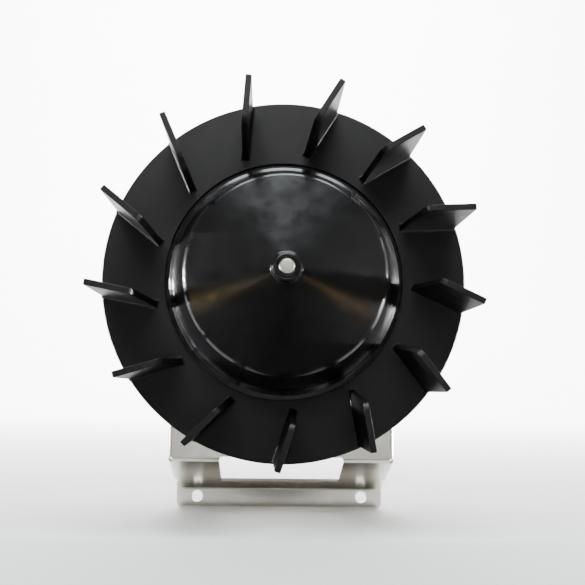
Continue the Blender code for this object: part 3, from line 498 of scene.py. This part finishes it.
def make_wheel():
    edge = 0.5 * MM
    back = -DISC_THICKNESS
    profile = rounded([
        (DISC_OPENING, 0, 0.35 * MM), (WHEEL_RADIUS, 0, edge), (WHEEL_RADIUS, back, edge),
        (REBATE_RADIUS, back, 0.2 * MM), (REBATE_RADIUS, -DISC_LIP, 0.15 * MM),
        (DISC_OPENING, -DISC_LIP, 0.15 * MM)])
    disc = turned_mesh("wheel", profile, WHEEL_STEPS)
    root = Vector((math.cos(blade_lag()), math.sin(blade_lag()), 0)) * BLADE_INNER_ROOT
    chord = Vector((BLADE_TIP, 0, 0)) - root
    stand = Matrix.Translation(root) @ Matrix.Rotation(math.atan2(chord.y, chord.x), 4, 'Z')
    blade = make_blade()
    bm = bmesh.new()
    bm.from_mesh(disc)
    for k in range(BLADE_COUNT):
        copy = blade.copy()
        copy.transform(Matrix.Rotation(FIRST_BLADE - k * math.tau / BLADE_COUNT, 4, 'Z') @ stand)
        bm.from_mesh(copy)
        bpy.data.meshes.remove(copy)
    limit = WHEEL_RADIUS - 0.05 * MM    # blade tips stay inside the disc's rim
    for vertex in bm.verts:
        reach = math.hypot(vertex.co.x, vertex.co.y)
        if reach > limit and vertex.co.z > 0:
            vertex.co.x *= limit / reach
            vertex.co.y *= limit / reach
    bm.to_mesh(disc)
    bm.free()
    shown(new_object("moulded_wheel", disc), SATIN, "wheel", ["blade_wheel"])


def make_dome():
    """Glossy hub dome: a beaded foot, a drafted side, a round shoulder, a cone and a boss."""
    under = -DISC_LIP - GAP
    flange_back = under - DOME_FLANGE_THICKNESS
    bore = SHAFT_RADIUS + GAP
    outside = [(bore, BOSS_FRONT, 0.2 * MM), (BOSS_RADIUS, BOSS_FRONT, 1.2 * MM), (*CONE_HEAD, 1.2 * MM),
               (*CONE_FOOT, 4.5 * MM), (*SIDE_FOOT, 0.8 * MM), (BEAD_RADIUS, BEAD_HEIGHT, 0.5 * MM)]
    base = [(BEAD_RADIUS, under, 0.3 * MM), (DOME_FLANGE, under, 0.2 * MM),
            (DOME_FLANGE, flange_back, 0.2 * MM), (49.0 * MM, flange_back, 0.3 * MM)]
    inside = [(48.7 * MM, 0, 1 * MM), (41.8 * MM, 27.4 * MM, 3.0 * MM), (13.6 * MM, 39.0 * MM, 5 * MM),
              (BOSS_REAR_RADIUS, 39.6 * MM, 0.8 * MM), (BOSS_REAR_RADIUS, BOSS_REAR, 0.2 * MM),
              (bore, BOSS_REAR, 0.2 * MM)]
    profile = rounded(outside + base + inside, steps=8)
    dome = turned_mesh("dome", profile, WHEEL_STEPS)
    shown(new_object("polished_dome", dome), GLOSS, "wheel", ["hub_dome"])


def make_shaft():
    chamfer = 0.4 * MM
    front = DISC_FACE_Y - SHAFT_LOW.y
    rear = DISC_FACE_Y - SHAFT_HIGH.y
    profile = rounded([
        (0, front, 0), (SHAFT_RADIUS - chamfer, front, 0.1 * MM), (SHAFT_RADIUS, front - chamfer, 0.1 * MM),
        (SHAFT_RADIUS, rear + chamfer, 0.1 * MM), (SHAFT_RADIUS - chamfer, rear, 0.1 * MM),
        (0, rear, 0)], closed=False, steps=2)
    shaft = turned_mesh("shaft", profile, 64, closed=False)
    shown(new_object("turned_shaft", shaft), SHAFT, "wheel", ["motor_shaft"], 25)


# ---------------------------------------------------------------- bracket

def add_quads(bm, columns):
    """Add the quads between columns of points that stand side by side."""
    lines = [[bm.verts.new(point) for point in column] for column in columns]
    for a, b in zip(lines, lines[1:]):
        for i in range(len(a) - 1):
            bm.faces.new((a[i], a[i + 1], b[i + 1], b[i]))


def add_side_return(bm, side, start, end, inward, trim, bend_steps):
    """Add the bend and side return between two section points; trim slants its two ends."""
    flat = PLATE_HALF_WIDTH - SHEET / 2 - BEND
    along = (end - start).normalized()
    profile = [(flat + BEND * math.sin(QUARTER * i / bend_steps),
                BEND * (1 - math.cos(QUARTER * i / bend_steps))) for i in range(bend_steps + 1)]
    profile.append((flat + BEND, RETURN_DEPTH))
    columns = []
    for x, depth in profile:
        first = start + inward * depth + along * trim[0] * depth
        last = end + inward * depth + along * trim[1] * depth
        columns.append([(side * x, p.x, p.y) for p in (first, last)])
    add_quads(bm, columns)


def bracket_sheet(bend_steps):
    """The bracket's folded middle surface; its section is a list of (y, z) points."""
    plate_y = DISC_FACE_Y + PLATE_FRONT + SHEET / 2
    fold = Vector((plate_y, AXIS_HEIGHT - FOLD_DROP + SHEET / 2))
    slope = Vector((math.cos(WEB_SLOPE), -math.sin(WEB_SLOPE)))
    web_up = Vector((math.sin(WEB_SLOPE), math.cos(WEB_SLOPE)))
    foot = fold + slope * (-SHEET / 2 - plate_y) / slope.x
    top = Vector((plate_y, AXIS_HEIGHT + PLATE_TOP))
    edge = Vector((-SHEET / 2, -FLANGE_DROP))
    corners = [(*top, 0), (*fold, BEND), (*foot, BEND), (*edge, 0)]
    bends = rounded(corners, closed=False, steps=bend_steps)[1:-1]
    plate_end = fold + Vector((0, BEND_RELIEF))
    web_start = fold + slope * BEND_RELIEF
    web_end = fold + slope * WEB_RETURN_END
    tail = [web_end + slope * TAIL_STEP] + bends[bend_steps + 1:] + [edge]
    section = [top, plate_end] + bends[:bend_steps + 1] + [web_start, web_end] + tail
    flat = PLATE_HALF_WIDTH - SHEET / 2 - BEND
    mitre = math.tan((QUARTER - WEB_SLOPE) / 2)
    bm = bmesh.new()
    add_quads(bm, [[(x, p.x, p.y) for p in section] for x in (-flat, flat)])
    for side in (-1, 1):
        add_side_return(bm, side, top, plate_end, Vector((1, 0)), (0, -mitre), bend_steps)
        add_side_return(bm, side, web_start, web_end, web_up, (mitre, WEB_RETURN_SLANT), bend_steps)
        add_quads(bm, [[(side * x, p.x, p.y) for p in tail] for x in (flat, TAIL_HALF_WIDTH)])
    bmesh.ops.remove_doubles(bm, verts=bm.verts, dist=0.00001)
    bmesh.ops.recalc_face_normals(bm, faces=bm.faces)
    mesh = bpy.data.meshes.new("bracket")
    bm.to_mesh(mesh)
    bm.free()
    return mesh


def make_bracket():
    bracket = new_object("folded_bracket", bracket_sheet(bend_steps=8), Matrix.Identity(4))
    solidify = bracket.modifiers.new("thickness", 'SOLIDIFY')
    solidify.thickness = SHEET
    solidify.offset = 0
    solidify.use_even_offset = True
    baked(bracket)
    back = -PLATE_FRONT - SHEET
    half, corner = WINDOW_HALF_WIDTH, WINDOW_CORNER
    low = WINDOW_TOP - WINDOW_DEPTH
    window = rounded([(-half, low, corner), (half, low, corner), (half, WINDOW_TOP, corner),
                      (-half, WINDOW_TOP, corner)])
    plate = (back - MM, -PLATE_FRONT + MM)
    flange = (DISC_FACE_Y - MM, DISC_FACE_Y + SHEET + MM)
    tools = [prism_mesh("window", window, back - WINDOW_DEPTH, -PLATE_FRONT + 5 * MM),
             prism_mesh("motor_hole", circle(MOTOR_HOLE, CASE_STEPS), *plate)]
    for angle in EAR_ANGLES:
        centre = (EAR_CIRCLE * math.cos(angle), EAR_CIRCLE * math.sin(angle))
        tools.append(prism_mesh("grommet_hole", circle(GROMMET_HOLE, SMALL_STEPS, centre), *plate))
    low = -AXIS_HEIGHT - FLANGE_DROP
    for side in (-1, 1):
        hole = circle(FIXING_HOLE, SMALL_STEPS, (side * FIXING_SPACING / 2, -AXIS_HEIGHT))
        tools.append(prism_mesh("fixing_hole", hole, *flange))
        edge = TAIL_HALF_WIDTH
        quarter = [(edge - FLANGE_CORNER * (1 - math.sin(QUARTER * i / 8)),
                    low + FLANGE_CORNER * (1 - math.cos(QUARTER * i / 8))) for i in range(9)]
        outline = quarter + [(edge + MM, low + FLANGE_CORNER), (edge + MM, low - MM),
                             (edge - FLANGE_CORNER, low - MM)]
        tools.append(prism_mesh("corner", [(side * x, y) for x, y in outline], *flange))
    for tool in tools:
        tool.transform(AXIS)
    cut(bracket, tools)
    round_edges(bracket, 0.12 * MM, 50)
    shown(bracket, BRIGHT, "motor_and_bracket", ["motor_bracket"], 30)


# ---------------------------------------------------------------- motor

def shell_profile(wall_height, rim_height, sign):
    """Section of half of the motor's case, from its rim round its end wall to its bearing nose."""
    inner = SHELL_RADIUS - SHELL_WALL
    wall = SHELL_WALL * sign
    nose = wall_height + NOSE_LENGTH * sign
    pocket = wall_height - BEARING_POCKET * sign
    bore = SHAFT_RADIUS + 0.7 * MM
    seat = NOSE_RADIUS - SHELL_WALL
    return rounded([
        (SHELL_RADIUS, rim_height, 0.2 * MM), (SHELL_RADIUS, wall_height, 7 * MM),
        (NOSE_RADIUS, wall_height, 0.8 * MM), (NOSE_RADIUS, nose, 1.0 * MM), (bore, nose, 0.2 * MM),
        (bore, nose - wall, 0.2 * MM), (seat, nose - wall, 0.3 * MM), (seat, pocket, 0.2 * MM),
        (NOSE_RADIUS, pocket, 0.2 * MM), (NOSE_RADIUS, wall_height - wall, 0.3 * MM),
        (inner, wall_height - wall, 5.5 * MM), (inner, rim_height, 0.2 * MM)])


def wall_cuts(wall_height, vent_angles):
    """Vent slots and bolt holes through an end wall."""
    low, high = wall_height - 3 * MM, wall_height + 3 * MM
    slot = rounded([(VENT_INNER, -VENT_HALF_WIDTH, VENT_CORNER), (VENT_OUTER, -VENT_HALF_WIDTH, VENT_CORNER),
                    (VENT_OUTER, VENT_HALF_WIDTH, VENT_CORNER), (VENT_INNER, VENT_HALF_WIDTH, VENT_CORNER)])
    tools = []
    for angle in vent_angles:
        tool = prism_mesh("vent", slot, low, high)
        tool.transform(Matrix.Rotation(math.radians(angle), 4, 'Z'))
        tools.append(tool)
    for angle in BOLT_ANGLES:
        centre = (BOLT_CIRCLE * math.cos(angle), BOLT_CIRCLE * math.sin(angle))
        tools.append(prism_mesh("bolt_hole", circle(SCREW_RADIUS + GAP, 24, centre), low, high))
    return tools


def make_shells():
    vent_angles = [22.5 + 45 * k for k in range(8)]
    profile = shell_profile(SHELL_FRONT, SHELL_SEAM, 1)
    front = new_object("front_case", turned_mesh("case", profile, CASE_STEPS))
    cut(front, wall_cuts(SHELL_FRONT, vent_angles))
    shown(front, ZINC, "motor_and_bracket", ["front_end_shell"])

    profile = shell_profile(SHELL_REAR, SHELL_SEAM - GAP, -1)
    rear = new_object("rear_case", turned_mesh("case", profile, CASE_STEPS))
    half = EAR_HALF_WIDTH
    turns = [math.pi * (i / 16 - 0.5) for i in range(17)]
    tip = [(EAR_CIRCLE + half * math.cos(turn), half * math.sin(turn)) for turn in turns]
    root = SHELL_RADIUS - 0.9 * MM
    outline = [(root, -half)] + tip + [(root, half)]
    ears = []
    holes = []
    for angle in EAR_ANGLES:
        turn = Matrix.Rotation(angle, 4, 'Z')
        ear = prism_mesh("ear", outline, EAR_FRONT - EAR_THICKNESS, EAR_FRONT)
        hole = prism_mesh("ear_hole", circle(SCREW_RADIUS + GAP, 24, (EAR_CIRCLE, 0)),
                          EAR_FRONT - EAR_THICKNESS - MM, EAR_FRONT + MM)
        ear.transform(turn)
        hole.transform(turn)
        ears.append(ear)
        holes.append(hole)
    cut(rear, ears, 'UNION')
    screw_hole = prism_mesh("screw_hole", circle(BLOCK_SCREW_RADIUS, 24, (0, BLOCK_SCREW_HEIGHT)),
                            SHELL_REAR - MM, SHELL_REAR + 3 * MM)
    clear_of_block = [angle for angle in vent_angles if abs(angle - 90) > 45]
    cut(rear, holes + [screw_hole] + wall_cuts(SHELL_REAR, clear_of_block))
    round_edges(rear, 0.12 * MM, 50)
    shown(rear, ZINC, "motor_and_bracket", ["rear_end_shell"])


def placed(mesh, name, finish, node, places, sharp=40):
    """Show the same mesh at each place, standing for the numbered copies of a CAD node."""
    for k, place in enumerate(places, 1):
        obj = new_object(f"{name}_{k}", mesh, place)
        shown(obj, finish, "motor_and_bracket", [f"{node}_{k}"], sharp)


def nut_mesh(top):
    """A hexagon nut with chamfered corners, hanging down from a height."""
    bottom = top - NUT_HEIGHT
    across = NUT_WIDTH / math.sqrt(3)
    nut = new_object("nut", prism_mesh("nut", circle(across, 6), bottom, top), Matrix.Identity(4))
    face = across - 0.65 * MM
    reach = across + 0.1 * MM
    cone = [(0, top + MM), (face, top + 0.01 * MM), (reach, top - 0.55 * MM),
            (reach, bottom + 0.55 * MM), (face, bottom - 0.01 * MM), (0, bottom - MM)]
    bore = prism_mesh("bore", circle(SCREW_RADIUS + 0.1 * MM, 32), bottom - MM, top + MM)
    cut(nut, [turned_mesh("cone", cone, SMALL_STEPS, closed=False)], 'INTERSECT')
    cut(nut, [bore])
    mesh = nut.data
    bpy.data.objects.remove(nut, do_unlink=True)
    return mesh


def screw_mesh(under_head, head_radius, head_height, tail):
    """A pan head screw with a cross recess and a rolled thread on its last stretch."""
    thread_start = tail + 5.5 * MM
    pitch = 0.7 * MM
    profile = [(0, under_head + head_height, 0),
               (head_radius * 0.62, under_head + head_height * 0.95, 0.8 * MM),
               (head_radius, under_head + head_height * 0.55, 0.5 * MM),
               (head_radius, under_head, 0.1 * MM), (SCREW_RADIUS, under_head, 0)]
    height = thread_start
    while height > tail + pitch:
        profile += [(SCREW_RADIUS, height, 0), (SCREW_RADIUS - 0.3 * MM, height - pitch / 2, 0)]
        height -= pitch
    profile += [(SCREW_RADIUS, height, 0), (SCREW_RADIUS - 0.5 * MM, tail, 0), (0, tail, 0)]
    mesh = turned_mesh("screw", rounded(profile, closed=False, steps=5), 32, closed=False)
    screw = new_object("screw", mesh, Matrix.Identity(4))
    arm, width, depth = head_radius * 0.55, head_radius * 0.16, head_height * 0.6
    top = under_head + head_height
    cross = []
    for turn in range(2):
        bar = prism_mesh("bar", [(-arm, -width), (arm, -width), (arm, width), (-arm, width)],
                         top - depth, top + MM)
        bar.transform(Matrix.Rotation(QUARTER * turn, 4, 'Z'))
        cross.append(bar)
    cut(screw, cross)
    mesh = screw.data
    bpy.data.objects.remove(screw, do_unlink=True)
    return mesh


def ring_mesh(inner, outer, bottom, top, edge):
    corners = [(inner, top, edge), (outer, top, edge), (outer, bottom, edge), (inner, bottom, edge)]
    return turned_mesh("ring", rounded(corners, steps=3), SMALL_STEPS)


def make_fasteners():
    bolts = [around(BOLT_CIRCLE, angle) for angle in BOLT_ANGLES]
    head = SHELL_FRONT + GAP
    tail = SHELL_REAR - GAP
    bolt = screw_mesh(head, BOLT_HEAD, 3 * MM, tail - NUT_HEIGHT - 1.5 * MM)
    placed(bolt, "case_bolt", ZINC, "through_bolt", bolts, 30)
    placed(nut_mesh(tail), "case_bolt_nut", ZINC, "through_bolt_nut", bolts, 30)

    corners = [around(EAR_CIRCLE, angle) for angle in EAR_ANGLES]
    front_face = -PLATE_FRONT + GAP
    back_face = -PLATE_FRONT - SHEET - GAP
    neck = GROMMET_HOLE - GAP
    half = [(GROMMET_BORE, front_face + LIP_THICKNESS, 0.3 * MM),
            (GROMMET_LIP, front_face + LIP_THICKNESS, 1.1 * MM), (GROMMET_LIP, front_face, 0.4 * MM),
            (neck, front_face, 0.1 * MM)]
    other_half = [(radius, front_face + back_face - height, edge) for radius, height, edge in reversed(half)]
    grommet = turned_mesh("grommet", rounded(half + other_half), SMALL_STEPS)
    placed(grommet, "rubber_grommet", RUBBER, "mount_grommet", corners)
    sleeve_front = front_face + LIP_THICKNESS + GAP
    sleeve = ring_mesh(SCREW_RADIUS + GAP, GROMMET_BORE - GAP, EAR_FRONT + GAP, sleeve_front, 0.1 * MM)
    placed(sleeve, "spacer_sleeve", ZINC, "mount_sleeve", corners)
    washer_back = sleeve_front + GAP
    washer_front = washer_back + MM
    washer = ring_mesh(SCREW_RADIUS + GAP, WASHER_RADIUS, washer_back, washer_front, 0.2 * MM)
    placed(washer, "flat_washer", ZINC, "mount_washer", corners)
    nut_face = EAR_FRONT - EAR_THICKNESS - GAP
    screw = screw_mesh(washer_front + GAP, SCREW_HEAD, 2.6 * MM, nut_face - 4.6 * MM)
    placed(screw, "pan_screw", ZINC, "mount_screw", corners, 30)
    placed(nut_mesh(nut_face), "pan_screw_nut", ZINC, "mount_nut", corners, 30)


# ---------------------------------------------------------------- stage

def area_light(name, place, target, size, power, colour=(1, 1, 1), spread=180):
    light = bpy.data.lights.new(name, 'AREA')
    light.shape = 'RECTANGLE'
    light.size, light.size_y = size
    light.energy = power
    light.color = colour
    light.spread = math.radians(spread)
    obj = bpy.data.objects.new(name, light)
    bpy.context.scene.collection.objects.link(obj)
    obj.location = place
    obj.rotation_euler = (Vector(target) - Vector(place)).to_track_quat('-Z', 'Y').to_euler()
    obj.visible_camera = False


def stage_finish(name, colour, spread):
    finish = Finish(name, colour, tuple(c * (1 - spread) for c in colour), (0.7, 0.9), 8)
    finish.bump(finish.noise(400, 3), 0.00005)
    return finish


def make_floor():
    """A pale floor that sweeps up into a backdrop far behind."""
    bottom = FLOOR_HEIGHT
    reach, back, bend = 4.0, 2.6, 1.2
    path = rounded([(-reach, bottom, 0), (back, bottom, bend), (back, bottom + 4, 0)],
                   closed=False, steps=24)
    vertices = [(x, p.x, p.y) for p in path for x in (-reach, reach)]
    faces = [(2 * i, 2 * i + 1, 2 * i + 3, 2 * i + 2) for i in range(len(path) - 1)]
    floor = new_object("floor", new_mesh("floor", vertices, faces), Matrix.Identity(4))
    floor.data.shade_smooth()
    floor.data.materials.append(stage_finish("pale_floor", (0.95, 0.95, 0.94), 0.02).material)


def dark_card(name, corners):
    """A dark card that the camera doesn't see, for the plastic and the steel to reflect."""
    card = new_object(name, new_mesh(name, corners, [range(len(corners))]), Matrix.Identity(4))
    card.data.materials.append(stage_finish(name, (0.016, 0.014, 0.010), 0.2).material)
    card.visible_camera = False
    card.visible_shadow = False
    card.visible_diffuse = False


def floor_card(name, outline):
    """A dark card that lies just above the floor."""
    dark_card(name, [(x, y, FLOOR_HEIGHT + 0.5 * MM) for x, y in outline])


def make_cards():
    """Cards all round a strip of bare floor, which the bracket's plate reflects."""
    half_width, top = 2.5, 0.42
    dark_card("front_card", [(-half_width, CARDS_FRONT, -0.2), (half_width, CARDS_FRONT, -0.2),
                             (half_width, CARDS_FRONT, top), (-half_width, CARDS_FRONT, top)])
    # Painted shadow: the floor card's near edge is curved like the bottom of the wheel's shadow on the
    # floor, so the steel flange reflects a dark arc there.
    wheel_shadow_edge = [(x, -0.034 - 40 * x * x) for x in (-0.04, -0.03, -0.015, 0, 0.015, 0.03, 0.04)]
    floor_card("floor_card", wheel_shadow_edge + [(STRIP_HALF_WIDTH, CARDS_BACK), (STRIP_HALF_WIDTH, -0.36),
                                           (-STRIP_HALF_WIDTH, -0.36), (-STRIP_HALF_WIDTH, CARDS_BACK)])
    for name, side in (("side_card_1", -1), ("side_card_2", 1)):
        inner, outer = side * STRIP_HALF_WIDTH, side * 1.6
        floor_card(name, [(inner, CARDS_FRONT), (outer, CARDS_FRONT),
                          (outer, CARDS_BACK), (inner, CARDS_BACK)])
    # Painted shade: two small dark cards, just in front of and just behind the flange, stand for the shade
    # on the floor under the bracket's web and behind its flange, for the bracket's steel to reflect.
    for name, front, back in (("shade_under_bracket_card", -0.022, -0.006), ("shade_behind_bracket_card", 0.001, 0.05)):
        floor_card(name, [(-0.05, front), (0.05, front), (0.05, back), (-0.05, back)])


def make_stage():
    make_floor()
    make_cards()
    world = bpy.context.scene.world or bpy.data.worlds.new("World")
    bpy.context.scene.world = world
    world.use_nodes = True
    background = world.node_tree.nodes["Background"]
    background.inputs["Color"].default_value = (1, 1, 1, 1)
    background.inputs["Strength"].default_value = 0.3
    centre = (0, DISC_FACE_Y, AXIS_HEIGHT)
    area_light("overhead", (0.02, -0.42, 1.25), centre, (1.15, 0.4), 23, (0.90, 0.97, 1.0))
    area_light("key", (-0.15, -1.5, 0.95), centre, (0.9, 0.4), 11)
    area_light("left_strip", (-0.9, -0.05, 0.14), centre, (0.04, 0.12), 0.32, spread=6)
    area_light("right_strip", (0.9, -0.05, 0.06), centre, (0.04, 0.12), 0.4, spread=6)
    area_light("warm_left", (-0.44, -0.47, 0.0), centre, (0.13, 0.05), 0.1, (1.0, 0.75, 0.35))
    area_light("warm_right", (0.31, -0.37, 0.0), centre, (0.06, 0.04), 0.03, (1.0, 0.65, 0.3))
    area_light("backdrop_light", (0, 1.0, 1.9), (0, 2.6, 0.5), (3.0, 0.8), 420, spread=156)


def make_camera():
    data = bpy.data.cameras.new("camera")
    data.lens = CAMERA_LENS
    data.sensor_width = 36
    data.clip_start = 0.01
    camera = bpy.data.objects.new("camera", data)
    bpy.context.scene.collection.objects.link(camera)
    camera.matrix_world = (Matrix.Translation(CAMERA_PLACE) @ Matrix.Rotation(CAMERA_YAW, 4, 'Z')
                           @ Matrix.Rotation(CAMERA_PITCH, 4, 'X') @ Matrix.Rotation(CAMERA_ROLL, 4, 'Z'))
    bpy.context.scene.camera = camera


make_camera()
make_stage()
make_wheel()
make_dome()
make_shaft()
make_bracket()
make_shells()
make_fasteners()
for node_name in ("terminal_block", "left_terminal_tab", "right_terminal_tab"):
    round_edges(frame["nodes"][node_name], 0.2 * MM)
